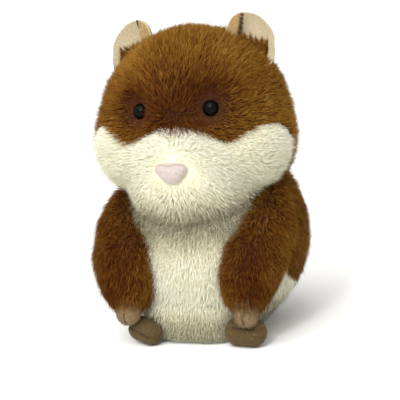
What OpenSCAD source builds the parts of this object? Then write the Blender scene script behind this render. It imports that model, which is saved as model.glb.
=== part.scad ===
// Interactive plush hamster, about 16 cm tall, that records, repeats and nods its head.
// Frame: origin at the centre of the base plate's underside, +Z up, the face looks along -Y.
// A screwed plastic drum stands inside the stuffing. It holds two cells, the motor, three
// gear stages, the board and the speaker, and its neck pin carries the nodding head.

/* [Body] */
// Radius of the two big spheres that give the body its width
body_r = 38; // [37:0.5:39]
// Height of those spheres' centres
body_z = 44; // [43:0.5:45]
// Thickness of the plush cover, backing and pressed pile together
cover_t = 2.2; // [1.6:0.1:2.6]

/* [Head] */
// Radius of the two crown spheres
skull_r = 40; // [39:0.5:41]
// Height of the crown spheres' centres
skull_z = 112; // [111:0.5:113]
// Diameter of the eye buttons
eye_d = 8.6; // [7:0.1:10]
// Distance between the centres of the eyes
eye_spacing = 35; // [34:0.5:38]
// Height of the eyes above the table
eye_z = 116; // [115:0.5:118]
// Height of the ear's centre
ear_z = 145; // [144:0.5:147]

/* [Neck joint] */
// Height of the neck pin
neck_z = 74; // [73:0.5:75]
// Distance of the neck pin behind the body's axis
neck_y = 2; // [1:0.5:3]
// Radius of the neck pin
neck_pin_r = 2; // [1.6:0.1:2.2]
// Slope of the neck seam, down towards the chin
seam_tilt = 18.5; // [16:0.5:20]
// How far the head nods forward from rest
nod_front = 8; // [4:1:8]
// How far it leans back from rest
nod_back = 6; // [2:1:6]

/* [Drum] */
// Outer radius of the drum
drum_r = 29; // [28.6:0.1:29.4]
// Corner radius of the oblong skirt round the battery box
skirt_r = 9.6; // [9.5:0.1:9.7]
// Wall of the two drum halves
wall = 1.8; // [1.4:0.1:2]
// Corner radius of the oblong base plate
base_r = 10.6; // [10.5:0.1:10.8]
// Thickness of the base plate
base_t = 2; // [1.8:0.1:2.2]

/* [Battery] */
// Diameter of one cell, size AAA
cell_d = 10.5; // [10.2:0.1:10.5]
// Length of one cell without its nub
cell_l = 43.7; // [43:0.1:43.7]
// Distance between the axes of neighbouring cells
cell_pitch = 11.4; // [11.2:0.1:11.6]

/* [Gears] */
// Radial play between a pin and what turns on it
play = 0.05; // [0.02:0.01:0.08]
// Teeth that the head's sector would have as a full gear
sector_teeth = 48; // [48]
// Teeth of the pinions on the two gear shafts
pinion_teeth = 12; // [12]
// Teeth of the second gear's wheel
wheel2_teeth = 36; // [36]
// Teeth of the first gear's wheel
wheel1_teeth = 40; // [40]
// Teeth of the motor's pinion
motor_teeth = 12; // [12]

/* [Hidden] */

brown = "saddlebrown";
cream = "antiquewhite";
tan = "tan";
white_plastic = "whitesmoke";
steel = "silver";
far = 300;
gap = 0.3;
soft_fn = 32;
round_fn = 64;

// Body of the toy, as spheres [x, y, z, radius] that a hull blends together.
body_balls = [for (s = [-1, 1]) each [[s * 9, 3, body_z, body_r], [s * 14, 4, 58, 32]],
    [0, -8, 32, 34], [0, -4, 56, 33]];
// Head, likewise: crown, cheeks, muzzle and nape.
head_balls = [for (s = [-1, 1]) each [[s * 6, 2, skull_z, skull_r], [s * 20, -4, 95, 28]],
    [0, -14, 88, 31], [0, 6, 90, 34]];
neck_bore_r = 27.4;
sleeve_r = 25.2;
sleeve_t = 0.8;
foot_r = 12.6;
// Centres of the four corner circles that the base plate, the skirt and the hem share.
foot_at = [[-8, -23], [8, -23], [-8, 21], [8, 21]];
base_gap = 0.3;

// Arm on the +X side: shoulder, elbow, wrist and hand.
shoulder = [37, -15.4, 52];
shoulder_r = 10.7;
arm_balls = [[shoulder[0], shoulder[1], shoulder[2], shoulder_r], [35.5, -31, 41, 11.6],
    [32.3, -38, 28, 9.4]];
hand_ball = [31.3, -42.2, 18.2, 6.2];
arm_wall = 1.8;
arm_out = [0.844, -0.533, 0];
pocket_travel = 24;

// Heights in the base, from the table upwards.
hem_t = 1.5;
ring_t = 2.4;
hem_z = base_t + 0.05;
ring_z = hem_z + hem_t + 0.05;
skirt_z = ring_z + ring_t + 0.05;
skirt_wall = 1.6;
deck_z = 17.3;
drum_top = 64.6;
shoulder_z = 57;
box_wall = 1.4;
box_w = 2 * cell_pitch + 2 * box_wall;
box_inner_l = cell_l + 3;
box_l = box_inner_l + 2 * box_wall;
box_h = 15;
box_y = -2;
cell_z = base_t + cell_d / 2 + 0.9;
door_w = box_w - 2.2;
door_l = box_l - 2.2;
door_t = 1.7;
base_screw_at = [[-7, -29.05], [7, -29.05], [-8.5, 26.9], [8.5, 26.9]];
post_r = 2;
drum_screw_at = [for (x = [-24.6, 24.6], z = [25.5, 53]) [x, z]];
switch_y = 26.2;
switch_travel = 2.5;

// Gear train. Every shaft runs along X, at [y, z].
module_a = 0.8;
module_b = 0.6;
module_c = 0.5;
sector_x = [-2, 2];
wheel2_x = [3, 6];
wheel1_x = [7, 9.4];
sector_r = sector_teeth * module_a / 2;
shaft2 = [neck_y, neck_z - sector_r - pinion_teeth * module_a / 2];
mesh2_angle = -55;
reach2 = (wheel2_teeth + pinion_teeth) * module_b / 2;
shaft1 = shaft2 + reach2 * [cos(mesh2_angle), sin(mesh2_angle)];
mesh1_angle = 200;
reach1 = (wheel1_teeth + motor_teeth) * module_c / 2;
motor_at = shaft1 + reach1 * [cos(mesh1_angle), sin(mesh1_angle)];
gear_pin_r = 1;
frame_x = [-6.4, -4.8];
cover_x = [10.6, 12.2];
motor_x = [-21.4, 2.4];
post_at = [[-12, 46.5], [17.5, 54], [17.5, 27]];

// ---------- shared shapes ----------

// Puts a flat gear or plate drawn in X and Y onto a shaft that runs along X at [y, z].
module on_shaft(at, x = 0) translate([x, at[0], at[1]]) rotate([90, 0, 90]) children();

module rod_x(at, x0, x1, r, fn = round_fn)
    on_shaft(at, x0) cylinder(r = r, h = x1 - x0, $fn = fn);

module rod_y(x, z, y0, y1, r, fn = round_fn)
    translate([x, y0, z]) rotate([-90, 0, 0]) cylinder(r = r, h = y1 - y0, $fn = fn);

module box_at(low, high) translate(low) cube(high - low);

// Hull of spheres, shrunk by inset.
module balls(list, inset = 0)
    hull() for (b = list) translate([b[0], b[1], b[2]]) sphere(r = b[3] - inset, $fn = soft_fn);

module foot_outline(r) hull() for (p = foot_at) translate(p) circle(r = r, $fn = 48);

module mirrored(side) mirror([side < 0 ? 1 : 0, 0, 0]) children();

function involute(a) = tan(a) - a * PI / 180;
function flank_angle(teeth, m, r, thin) =
    let (pitch_r = teeth * m / 2, base = pitch_r * cos(20))
    90 / teeth - thin / pitch_r * 90 / PI
    + (involute(20) - involute(acos(min(1, base / r)))) * 180 / PI;
// One tooth's outline centred on angle 0, as [radius, angle] from root to tip and back.
function tooth(teeth, m, thin) =
    let (pitch_r = teeth * m / 2, base = pitch_r * cos(20), tip = pitch_r + 0.7 * m,
        root = pitch_r - m, low = max(base, root),
        steps = [for (i = [0:4]) low + (tip - low) * i / 4],
        up = [[root, -flank_angle(teeth, m, low, thin)],
            for (r = steps) [r, -flank_angle(teeth, m, r, thin)]])
    concat(up, [for (i = [len(up) - 1:-1:0]) [up[i][0], -up[i][1]]]);
function polar(p, turn) = p[0] * [cos(p[1] + turn), sin(p[1] + turn)];
function gear_outline(teeth, m, turn, thin = 0.1) =
    [for (i = [0:teeth - 1], p = tooth(teeth, m, thin)) polar(p, turn + i * 360 / teeth)];

module gear(teeth, m, turn, h) linear_extrude(h) polygon(gear_outline(teeth, m, turn));

// Tapping screw along +Z, its head's underside at z = 0 and its head below.
module screw(shank_r, length, head_r, head_t)
    difference() {
        union() {
            cylinder(r = shank_r, h = length, $fn = 24);
            translate([0, 0, -head_t]) cylinder(r = head_r, h = head_t, $fn = 24);
        }
        for (a = [0, 90]) rotate(a)
            translate([-head_r * 0.6, -0.3, -head_t - 1]) cube([head_r * 1.2, 0.6, 1.5]);
    }

// Round lead swept along points, as one closed tube.
function unit(v) = v / norm(v);
function tangent(path, i) =
    unit(path[min(i + 1, len(path) - 1)] - path[max(i - 1, 0)]);
function ring_points(p, t, r, sides, lean) =
    let (side = unit(cross(t, lean)), up = cross(side, t))
    [for (k = [0:sides - 1]) p + r * (cos(k * 360 / sides) * side + sin(k * 360 / sides) * up)];
function bezier(a, b, c, d, t) =
    pow(1 - t, 3) * a + 3 * t * pow(1 - t, 2) * b + 3 * t * t * (1 - t) * c + pow(t, 3) * d;
// The lean is a direction that the lead never points along.
module lead(a, b, c, d, lean = [0, 0, 1], r = 0.6, sides = 8, rings = 12) {
    path = [for (i = [0:rings - 1]) bezier(a, b, c, d, i / (rings - 1))];
    points = [for (i = [0:rings - 1]) each ring_points(path[i], tangent(path, i), r, sides, lean)];
    walls = [for (i = [0:rings - 2], k = [0:sides - 1], half = [0, 1])
        let (a0 = i * sides + k, a1 = i * sides + (k + 1) % sides)
            half == 0 ? [a0, a0 + sides, a1 + sides] : [a0, a1 + sides, a1]];
    last = (rings - 1) * sides;
    ends = [for (k = [1:sides - 2]) each [[0, k, k + 1], [last, last + k + 1, last + k]]];
    polyhedron(points, concat(walls, ends));
}

// Space above a plane that leans down towards the chin by the angle, through the neck pin.
module above_seam(angle, lift = 0)
    translate([0, neck_y, neck_z]) rotate([angle, 0, 0])
        translate([-far / 2, -far / 2, lift]) cube([far, far, far]);
module front_of_neck() box_at([-far / 2, -far, -far], [far / 2, neck_y, far]);
module behind_neck() box_at([-far / 2, neck_y, -far], [far / 2, far, far]);

// Room that the head sweeps, cut from the body, and room kept free under the head.
front_half = nod_front / 2 + gap;
back_half = nod_back / 2 + gap;
module above_body() {
    intersection() { above_seam(seam_tilt + front_half, -gap); front_of_neck(); }
    intersection() { above_seam(seam_tilt - back_half, -gap); behind_neck(); }
}
module head_space() {
    intersection() { above_seam(seam_tilt - front_half, gap); front_of_neck(); }
    intersection() { above_seam(seam_tilt + back_half, gap); behind_neck(); }
}

// Hollow that the soft body leaves for an arm, open outwards along the arm's swing.
module arm_pocket(inset)
    for (s = [-1, 1]) mirrored(s) for (i = [0:1]) hull()
        for (k = [0, 1], push = [0, pocket_travel]) translate(push * arm_out)
            translate([arm_balls[i + k][0], arm_balls[i + k][1], arm_balls[i + k][2]])
                sphere(r = arm_balls[i + k][3] + 0.5 + inset, $fn = 24);

// The spheres blended with the round foot of the body, which stands just off the table.
module body_hull(inset = 0)
    difference() {
        hull() {
            for (b = body_balls) translate([b[0], b[1], b[2]]) sphere(r = b[3] - inset, $fn = soft_fn);
            linear_extrude(4) foot_outline(foot_r - inset);
        }
        box_at([-far, -far, -far], [far, far, base_gap]);
    }
module body_solid(inset = 0)
    difference() {
        body_hull(inset);
        above_body();
        arm_pocket(0);
    }

// Outline of the drum's hollow and wall, turned about Z.
module drum_profile(inset)
    polygon([[0, deck_z + inset], [drum_r - inset, deck_z + inset],
        [drum_r - inset, shoulder_z - inset / 2], [19 - inset, drum_top - inset], [0, drum_top - inset]]);
module drum_room(clear) {
    rotate_extrude($fn = round_fn) drum_profile(-clear);
    translate([0, 0, skirt_z - 1]) linear_extrude(deck_z + wall + clear - skirt_z + 1)
        foot_outline(skirt_r + clear);
}

module body_cover()
    difference() {
        body_solid();
        body_hull(cover_t);
        translate([0, 0, -1]) linear_extrude(5) foot_outline(base_r + gap);
    }

module head_solid(inset = 0)
    difference() {
        intersection() { balls(head_balls, inset); head_space(); }
        cylinder(r = neck_bore_r - inset, h = neck_z + 22, $fn = round_fn);
    }

module head_cover()
    difference() {
        intersection() { balls(head_balls); head_space(); }
        balls(head_balls, cover_t);
        eye_shank_holes(1.7, 12);
    }

eye_y = -31.6;
module at_eye(side)
    translate([side * eye_spacing / 2, eye_y, eye_z]) rotate([90, 0, side * 26]) children();
// Hole for the shank, and a shallow socket for the button's back.
module eye_shank_holes(r, depth)
    for (s = [-1, 1]) at_eye(s) {
        translate([0, 0, -depth]) cylinder(r = r, h = depth + 8, $fn = 32);
        translate([0, 0, 0.1]) cylinder(r = eye_d / 2 + 0.25, h = 9, $fn = 48);
    }

// ---------- base and battery ----------

module base_plate() color(white_plastic)
    difference() {
        linear_extrude(base_t) foot_outline(base_r);
        box_at([-door_w / 2 - gap, box_y - door_l / 2 - gap, -1],
            [door_w / 2 + gap, box_y + door_l / 2 + gap, base_t + 1]);
        for (p = base_screw_at) translate([p[0], p[1], 0]) {
            translate([0, 0, -1]) cylinder(r = 1.15, h = base_t + 2, $fn = 32);
            translate([0, 0, -1]) cylinder(r = 2.3, h = 2, $fn = 32);
        }
        box_at([-switch_travel / 2 - 2.4, switch_y - 1.9, -1],
            [switch_travel / 2 + 2.4, switch_y + 1.9, base_t + 1]);
    }

module base_screws() color(steel)
    for (p = base_screw_at) translate([p[0], p[1], 1]) screw(1.05, 9, 2.1, 0.8);

module skin_clamp_ring() color(white_plastic)
    translate([0, 0, ring_z]) difference() {
        linear_extrude(ring_t) foot_outline(base_r - 0.4);
        translate([0, 0, -1]) linear_extrude(ring_t + 2) foot_outline(skirt_r - skirt_wall + 0.3);
    }

module base_hem() color(cream)
    translate([0, 0, hem_z]) difference() {
        linear_extrude(hem_t) foot_outline(base_r + gap - 0.05);
        translate([0, 0, -1]) linear_extrude(hem_t + 2) foot_outline(skirt_r - 1);
    }

module battery_box() color(white_plastic)
    difference() {
        box_at([-box_w / 2, box_y - box_l / 2, base_t + 0.02],
            [box_w / 2, box_y + box_l / 2, base_t + box_h]);
        box_at([-box_w / 2 + box_wall, box_y - box_inner_l / 2, 0],
            [box_w / 2 - box_wall, box_y + box_inner_l / 2, base_t + box_h - box_wall]);
    }

// Two cells side by side, one turned round.
module each_cell()
    for (i = [-0.5, 0.5]) translate([i * cell_pitch, box_y, cell_z]) rotate([0, 0, i < 0 ? 180 : 0])
        children();
module battery_cells() color("dimgray")
    each_cell() translate([0, -box_inner_l / 2 + 1.3, 0]) rotate([-90, 0, 0]) {
        cylinder(r = cell_d / 2, h = cell_l, $fn = 48);
        translate([0, 0, cell_l - 0.01]) cylinder(r = 1.9, h = 0.8, $fn = 32);
    }

// Conical spring pressed flat between the cell and the box's end, as a stepped ring.
module battery_springs() color(steel)
    each_cell() translate([0, -box_inner_l / 2 + 0.05, 0]) rotate([-90, 0, 0])
        rotate_extrude($fn = 40) polygon([[3.4, 0], [3.9, 0], [3.9, 0.5], [3.4, 0.5], [3.4, 0.8],
            [2.9, 0.8], [2.9, 1.15], [2.3, 1.15], [2.3, 0.7], [2.8, 0.7], [2.8, 0.35], [3.4, 0.35]]);
module battery_contacts() color(steel)
    each_cell() translate([-3.5, box_inner_l / 2 - 0.85, -4]) cube([7, 0.8, 8]);

module battery_door() color(white_plastic)
    difference() {
        box_at([-door_w / 2, box_y - door_l / 2, 0], [door_w / 2, box_y + door_l / 2, door_t]);
        translate([0, box_y - door_l / 2 + 3.5, -1]) {
            cylinder(r = 1.1, h = 5, $fn = 32);
            cylinder(r = 2.1, h = 1.9, $fn = 32);
        }
        for (k = [0:4]) box_at([-8, box_y + door_l / 2 - 9 + k * 1.5, -1],
            [8, box_y + door_l / 2 - 8.4 + k * 1.5, 0.5]);
    }
module door_screw() color(steel)
    translate([0, box_y - door_l / 2 + 3.5, 0.9]) screw(1.05, 1, 2, 0.6);

module power_switch_housing() color("dimgray")
    difference() {
        box_at([-4.6, switch_y - 2.6, base_t + 0.02], [4.6, switch_y + 1.9, base_t + 4.6]);
        box_at([-3.9, switch_y - 1.8, base_t - 1], [3.9, switch_y + 1.3, base_t + 3.4]);
    }
module power_switch_knob() color("black")
    translate([-switch_travel / 2, switch_y, 0]) {
        box_at([-2, -1.4, 0.4], [2, 0.9, base_t + 1.2]);
        box_at([-2.4, -1.2, base_t + 1.2], [2.4, 1, base_t + 2.8]);
    }

// ---------- drum ----------

module drum_solid()
    difference() {
        union() {
            rotate_extrude($fn = round_fn) difference() { drum_profile(0); drum_profile(wall); }
            // Skirt round the battery box, and the deck that carries the drum on it.
            translate([0, 0, skirt_z]) linear_extrude(deck_z - skirt_z + 0.5) difference() {
                foot_outline(skirt_r);
                foot_outline(skirt_r - skirt_wall);
            }
            translate([0, 0, deck_z]) linear_extrude(wall) {
                circle(r = drum_r, $fn = round_fn);
                foot_outline(skirt_r);
            }
            // Posts for the screws from below.
            for (p = base_screw_at) translate([p[0], p[1], base_t + 0.03])
                cylinder(r = post_r, h = deck_z - base_t + 0.2, $fn = 32);
            // Bosses for the screws that join the halves.
            for (p = drum_screw_at) rod_y(p[0], p[1], -8.6, 8.6, 2.8, 32);
            // Cheeks that hold the neck pin.
            for (x = [-14, 11.4]) {
                rod_x([neck_y, neck_z], x, x + 2.6, 4.6);
                box_at([x, neck_y - 4.6, drum_top - wall / 2], [x + 2.6, neck_y + 4.6, neck_z]);
            }
        }
        // Way through the top for the sector and the hub.
        box_at([-10.4, neck_y - 14, drum_top - 3 * wall], [10.4, neck_y + 14, drum_top + 1]);
        rod_x([neck_y, neck_z], -20, 20, neck_pin_r);
        for (p = base_screw_at) translate([p[0], p[1], 0]) cylinder(r = 1.05, h = 11, $fn = 32);
        for (p = drum_screw_at) {
            rod_y(p[0], p[1], -6, far, 1.05, 32);
            rod_y(p[0], p[1], 5, far, 2.3, 32);
        }
        // Slots that let the sound out, in front of the speaker.
        for (i = [-2:2]) box_at([i * 3.6 - 0.7, -far, 30], [i * 3.6 + 0.7, -20, 46]);
        rod_y(13, 56.4, -far, -18, 1.4, 24);
        // Passage for the leads to the base.
        box_at([-5.4, 23.4, deck_z - 1], [5.4, 27.6, deck_z + wall + 1]);
    }
module drum_front() color(white_plastic)
    intersection() { drum_solid(); box_at([-far, -far, 0], [far, -0.02, far]); }
module drum_back() color(white_plastic)
    intersection() { drum_solid(); box_at([-far, 0.02, 0], [far, far, far]); }
module drum_screws() color(steel)
    for (p = drum_screw_at) translate([p[0], 5, p[1]]) rotate([90, 0, 0]) screw(1, 10, 2.1, 1);

// ---------- drive ----------

module frame_plate(h, pin_r)
    difference() {
        linear_extrude(h) hull() for (p = concat(post_at, [[-12, 24], [14, 24]]))
            translate(p) circle(r = 3.2, $fn = 32);
        for (p = [shaft1, shaft2]) translate([p[0], p[1], -1]) cylinder(r = pin_r, h = h + 2, $fn = 32);
    }
module gearbox_frame() color("gainsboro")
    difference() {
        union() {
            on_shaft([0, 0], frame_x[0]) frame_plate(frame_x[1] - frame_x[0], gear_pin_r);
            for (p = post_at) rod_x(p, frame_x[1], cover_x[0] - 0.02, 2.4, 32);
        }
        // Cradle for the motor.
        on_shaft(motor_at, frame_x[0] - 1) motor_outline(4, 0.1);
        for (p = post_at) rod_x(p, 2, far, 1, 24);
    }
module gearbox_cover() color("gainsboro")
    difference() {
        on_shaft([0, 0], cover_x[0]) frame_plate(cover_x[1] - cover_x[0], gear_pin_r);
        for (p = post_at) rod_x(p, 0, far, 1.1, 24);
        rod_x(motor_at, 0, far, 3.4, 32);
    }
module gearbox_screws() color(steel)
    for (p = post_at) translate([cover_x[1], p[0], p[1]]) rotate([0, -90, 0]) screw(0.95, 7, 1.9, 0.9);
module gear_shafts() color(steel)
    for (p = [shaft1, shaft2]) rod_x(p, frame_x[0], cover_x[1], gear_pin_r, 32);

// Round motor can with two flats, 20 mm by 15 mm.
module motor_outline(h, grow = 0)
    linear_extrude(h) intersection() {
        circle(r = 10 + grow, $fn = 64);
        square([40, 15.1 + 2 * grow], center = true);
    }
module drive_motor() color(steel) {
    on_shaft(motor_at, motor_x[0]) motor_outline(motor_x[1] - motor_x[0]);
    rod_x(motor_at, motor_x[1] - 0.01, motor_x[1] + 1.4, 3, 32);
    rod_x(motor_at, motor_x[0] - 1.4, motor_x[0] + 0.01, 3, 32);
}
module motor_pinion() color("gold") {
    on_shaft(motor_at, wheel1_x[0] - 0.4)
        gear(motor_teeth, module_c, mesh1_angle - 180 + 180 / motor_teeth, 3.2);
    rod_x(motor_at, motor_x[1] + 1.5, wheel1_x[0] - 0.3, 0.9, 24);
}
module first_gear() color("ivory")
    difference() {
        union() {
            on_shaft(shaft1, wheel1_x[0])
                gear(wheel1_teeth, module_c, mesh1_angle, wheel1_x[1] - wheel1_x[0]);
            on_shaft(shaft1, wheel2_x[0] - 0.3) gear(pinion_teeth, module_b,
                mesh2_angle + 180 + 180 / pinion_teeth, wheel1_x[0] - wheel2_x[0] + 0.4);
        }
        rod_x(shaft1, -20, 20, gear_pin_r + play, 32);
    }
module second_gear() color("ivory")
    difference() {
        union() {
            on_shaft(shaft2, wheel2_x[0])
                gear(wheel2_teeth, module_b, mesh2_angle, wheel2_x[1] - wheel2_x[0]);
            on_shaft(shaft2, sector_x[0] - 0.4) gear(pinion_teeth, module_a, 90 + 180 / pinion_teeth,
                wheel2_x[0] - sector_x[0] + 0.5);
        }
        rod_x(shaft2, -20, 20, gear_pin_r + play, 32);
    }
module neck_pin() color(steel) rod_x([neck_y, neck_z], -14.2, 14.2, neck_pin_r - 0.005);

// ---------- board, speaker and leads ----------

board_y = 21.4;
module main_board() color("seagreen")
    difference() {
        box_at([-12.5, board_y, 26], [12.5, board_y + 1.6, 56]);
        for (z = [28.2, 53.8]) rod_y(-10.4, z, 0, 40, 0.9, 24);
    }
module board_chips() color("black") {
    rod_y(0, 44, board_y + 1.62, board_y + 2.9, 4.6, 32);
    box_at([5.5, board_y + 1.62, 30], [10.5, board_y + 3, 36]);
    for (x = [-8, -3]) rod_y(x, 33, board_y + 1.62, board_y + 3.4, 1.8, 24);
}
speaker_z = 38;
module speaker_basket() color(steel)
    difference() {
        union() {
            rod_y(0, speaker_z, -24.4, -22.4, 11.6);
            rod_y(0, speaker_z, -22.41, -18.4, 7);
        }
        rod_y(0, speaker_z, -26, -23.6, 10.4);
        translate([0, -21.45, speaker_z]) rotate([90, 0, 0])
            cylinder(r1 = 3.2, r2 = 10.2, h = 2.2, $fn = round_fn);
    }
module speaker_cone() color("black")
    translate([0, -21.6, speaker_z]) rotate([90, 0, 0]) difference() {
        cylinder(r1 = 3.2, r2 = 10.2, h = 2.2, $fn = round_fn);
        translate([0, 0, 0.4]) cylinder(r1 = 2.6, r2 = 9.6, h = 2.4, $fn = round_fn);
    }
module microphone() color("black") rod_y(13, 56.4, -17.9, -15.2, 3, 32);

module power_leads() color("red")
    for (x = [-4, -2.2])
        lead([x, 26.2, base_t + 4.8], [x, 26.2, 14], [x, 25.5, 18], [x, 23.75, 26.6], [1, 0, 0]);
module motor_leads() color("gray")
    for (z = [-1.5, 1.5]) lead([motor_x[0] - 0.5, motor_at[0] + 5, motor_at[1] + z],
        [-26, motor_at[0] + 7, 34 + z], [-20, 18, 41 + z], [-12.8, board_y + 0.8, 41 + z]);
module speaker_leads() color("yellow")
    for (z = [-1, 1]) lead([-8, -21.9, speaker_z + 6 + z], [-14, -10, 50 + z], [-22, 12, 51 + z],
        [-12.85, board_y + 0.8, 50 + z]);
module microphone_leads() color("white")
    for (z = [-0.8, 0.8]) lead([13, -14.8, 56.4 + z], [19, -6, 56.5 + z], [23, 14, 51 + z],
        [12.85, board_y + 0.8, 50 + z]);

// ---------- soft body ----------

module body_padding() color("white")
    difference() {
        body_solid(cover_t + 0.05);
        drum_room(0.4);
        linear_extrude(skirt_z + 1) foot_outline(base_r + gap);
        cylinder(r = sleeve_r + 0.05, h = far, $fn = round_fn);
    }
module belly_space() {
    box_at([-far, -far, -1], [far, -10, far]);
    box_at([-far, -far, -1], [far, 30, 11]);
}
module belly_panel() color(cream) intersection() { body_cover(); belly_space(); }
module back_panel() color(brown) difference() { body_cover(); belly_space(); }

// Knitted sleeve that stands up inside the head's neck opening, clear of the nod.
module neck_gusset() color(brown)
    difference() {
        cylinder(r = sleeve_r, h = neck_z + 5, $fn = round_fn);
        translate([0, 0, -1]) cylinder(r = sleeve_r - sleeve_t, h = far, $fn = round_fn);
        translate([0, 0, -1]) cylinder(r = far, h = shoulder_z + 3, $fn = round_fn);
        drum_room(0.3);
    }

module foot(side)
    mirrored(side) difference() {
        hull() for (p = [[22.5, -29.5], [23, -36], [31, -34.5]])
            translate([p[0], p[1], 7]) sphere(r = 6.6, $fn = soft_fn);
        body_hull(-0.1);
    }
module foot_left() color(tan) foot(-1);
module foot_right() color(tan) foot(1);

// ---------- head ----------

plate_z = 92;
module head_carrier() color(white_plastic)
    difference() {
        union() {
            rod_x([neck_y, neck_z], -9.6, 9.6, 4.2);
            on_shaft([neck_y, neck_z], sector_x[0]) linear_extrude(sector_x[1] - sector_x[0])
                polygon(concat([[0, 0]], [for (i = [-4:4], p = tooth(sector_teeth, module_a, 0.1))
                    polar(p, -90 + i * 360 / sector_teeth)]));
            for (x = [-9.6, 6.6]) box_at([x, neck_y - 4.2, neck_z], [x + 3, neck_y + 4.2, plate_z - 2]);
            box_at([-13, neck_y - 11, plate_z - 2.4], [13, neck_y + 11, plate_z - 0.02]);
        }
        rod_x([neck_y, neck_z], -20, 20, neck_pin_r + play);
        for (y = [-7, 7]) translate([0, neck_y + y, plate_z - 5]) cylinder(r = 1.1, h = 8, $fn = 24);
    }
module head_plate() color(white_plastic)
    difference() {
        union() {
            translate([0, neck_y, plate_z]) cylinder(r = 23, h = 1.8, $fn = round_fn);
            translate([0, neck_y, plate_z + 1.79]) difference() {
                cylinder(r = 23, h = 2, $fn = round_fn);
                translate([0, 0, -1]) cylinder(r = 21.4, h = 4, $fn = round_fn);
            }
        }
        for (y = [-7, 7]) translate([0, neck_y + y, plate_z - 1]) cylinder(r = 1.1, h = 8, $fn = 24);
    }
module head_plate_screws() color(steel)
    for (y = [-7, 7]) translate([0, neck_y + y, plate_z + 1.8]) rotate([180, 0, 0]) screw(1, 6, 2, 1);

module head_stuffing() color("white")
    difference() {
        intersection() { balls(head_balls, cover_t + 0.05); head_space(); }
        cylinder(r = neck_bore_r, h = plate_z + 3.85, $fn = round_fn);
        eye_shank_holes(1.7, 12);
        for (s = [-1, 1]) at_eye(s) translate([0, 0, -9.5]) cylinder(r = 6, h = 4, $fn = 32);
    }
muzzle_side = 25;
module muzzle_space() box_at([-far, -far, 0], [far, -7, 100]);
module muzzle_panel() color(cream)
    intersection() { head_cover(); muzzle_space(); box_at([-muzzle_side, -far, 0], [muzzle_side, far, far]); }
module cheek(side)
    intersection() {
        head_cover();
        muzzle_space();
        box_at(side < 0 ? [-far, -far, 0] : [muzzle_side, -far, 0],
            side < 0 ? [-muzzle_side, far, far] : [far, far, far]);
    }
module cheek_left() color(cream) cheek(-1);
module cheek_right() color(cream) cheek(1);
module crown_panel() color(brown) difference() { head_cover(); muzzle_space(); }

ear_x = 30;
ear_y = -7;
module ear(side)
    mirrored(side) difference() {
        translate([ear_x, ear_y, ear_z]) rotate([78, 0, 6]) translate([0, 0, -2])
            linear_extrude(4) hull() {
                translate([1.5, -5]) circle(r = 11.5, $fn = 48);
                translate([-2, 6.8]) circle(r = 7.4, $fn = 48);
                translate([-5.5, -4]) circle(r = 8, $fn = 48);
            }
        balls(head_balls, -0.1);
    }
module ear_left() color(tan) ear(-1);
module ear_right() color(tan) ear(1);

module eye(side)
    at_eye(side) difference() {
        union() {
            translate([0, 0, 1.2]) difference() {
                sphere(r = eye_d / 2, $fn = 48);
                translate([-10, -10, -20.9]) cube(20);
            }
            translate([0, 0, -10.2]) cylinder(r = 1.5, h = 12, $fn = 32);
        }
    }
module eye_left() color("black") eye(-1);
module eye_right() color("black") eye(1);
module eye_washers() color("white")
    for (s = [-1, 1]) at_eye(s) translate([0, 0, -8.6]) difference() {
        cylinder(r = 5.2, h = 1, $fn = 32);
        translate([0, 0, -1]) cylinder(r = 1.52, h = 3, $fn = 32);
    }

nose_w = 14.4;
nose_z = 88;
// Heart outline, two round lobes above a point.
module nose() color("pink")
    difference() {
        translate([0, -38, nose_z]) rotate([90, 0, 0]) linear_extrude(9.4) union() {
            hull() {
                for (s = [-1, 1]) translate([s * nose_w / 4, 1.6]) circle(r = nose_w / 4 - 0.2, $fn = 32);
                translate([0, -4]) circle(r = 1.2, $fn = 24);
            }
        }
        balls(head_balls, -0.05);
    }

// ---------- arms ----------

module arm_solid(inset = 0)
    for (i = [0:1]) hull() for (k = [0, 1])
        translate([arm_balls[i + k][0], arm_balls[i + k][1], arm_balls[i + k][2]])
            sphere(r = arm_balls[i + k][3] - inset, $fn = soft_fn);
module arm_cover(side) mirrored(side) difference() { arm_solid(); arm_solid(arm_wall); }
module arm_fill(side) mirrored(side) arm_solid(arm_wall + 0.05);
module hand(side)
    mirrored(side) difference() {
        hull() {
            translate([hand_ball[0], hand_ball[1], hand_ball[2]]) sphere(r = hand_ball[3], $fn = soft_fn);
            translate([hand_ball[0] + 0.3, hand_ball[1] + 1.5, hand_ball[2] + 5])
                sphere(r = hand_ball[3], $fn = soft_fn);
        }
        arm_solid(-0.05);
    }
module arm_left() color(brown) arm_cover(-1);
module arm_right() color(brown) arm_cover(1);
module arm_fill_left() color("white") arm_fill(-1);
module arm_fill_right() color("white") arm_fill(1);
module hand_left() color(tan) hand(-1);
module hand_right() color(tan) hand(1);

base_plate();
skin_clamp_ring();
battery_box();
battery_cells();
battery_springs();
battery_contacts();
battery_door();
door_screw();
base_screws();
power_switch_housing();
power_switch_knob();
drum_front();
drum_back();
drum_screws();
gearbox_frame();
gearbox_cover();
gearbox_screws();
drive_motor();
motor_pinion();
first_gear();
second_gear();
gear_shafts();
neck_pin();
main_board();
board_chips();
speaker_basket();
speaker_cone();
microphone();
power_leads();
motor_leads();
speaker_leads();
microphone_leads();
body_padding();
belly_panel();
back_panel();
base_hem();
neck_gusset();
foot_left();
foot_right();
head_carrier();
head_plate();
head_plate_screws();
head_stuffing();
crown_panel();
muzzle_panel();
cheek_left();
cheek_right();
ear_left();
ear_right();
eye_left();
eye_right();
eye_washers();
nose();
arm_left();
arm_right();
arm_fill_left();
arm_fill_right();
hand_left();
hand_right();
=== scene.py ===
"""Looks for the plush hamster: skins and fur, velour ears, hands and feet, eyes, nose, and plastics."""
import math
import bmesh
import bpy
import numpy as np
from functools import partial
from mathutils import Matrix, Vector


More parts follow.
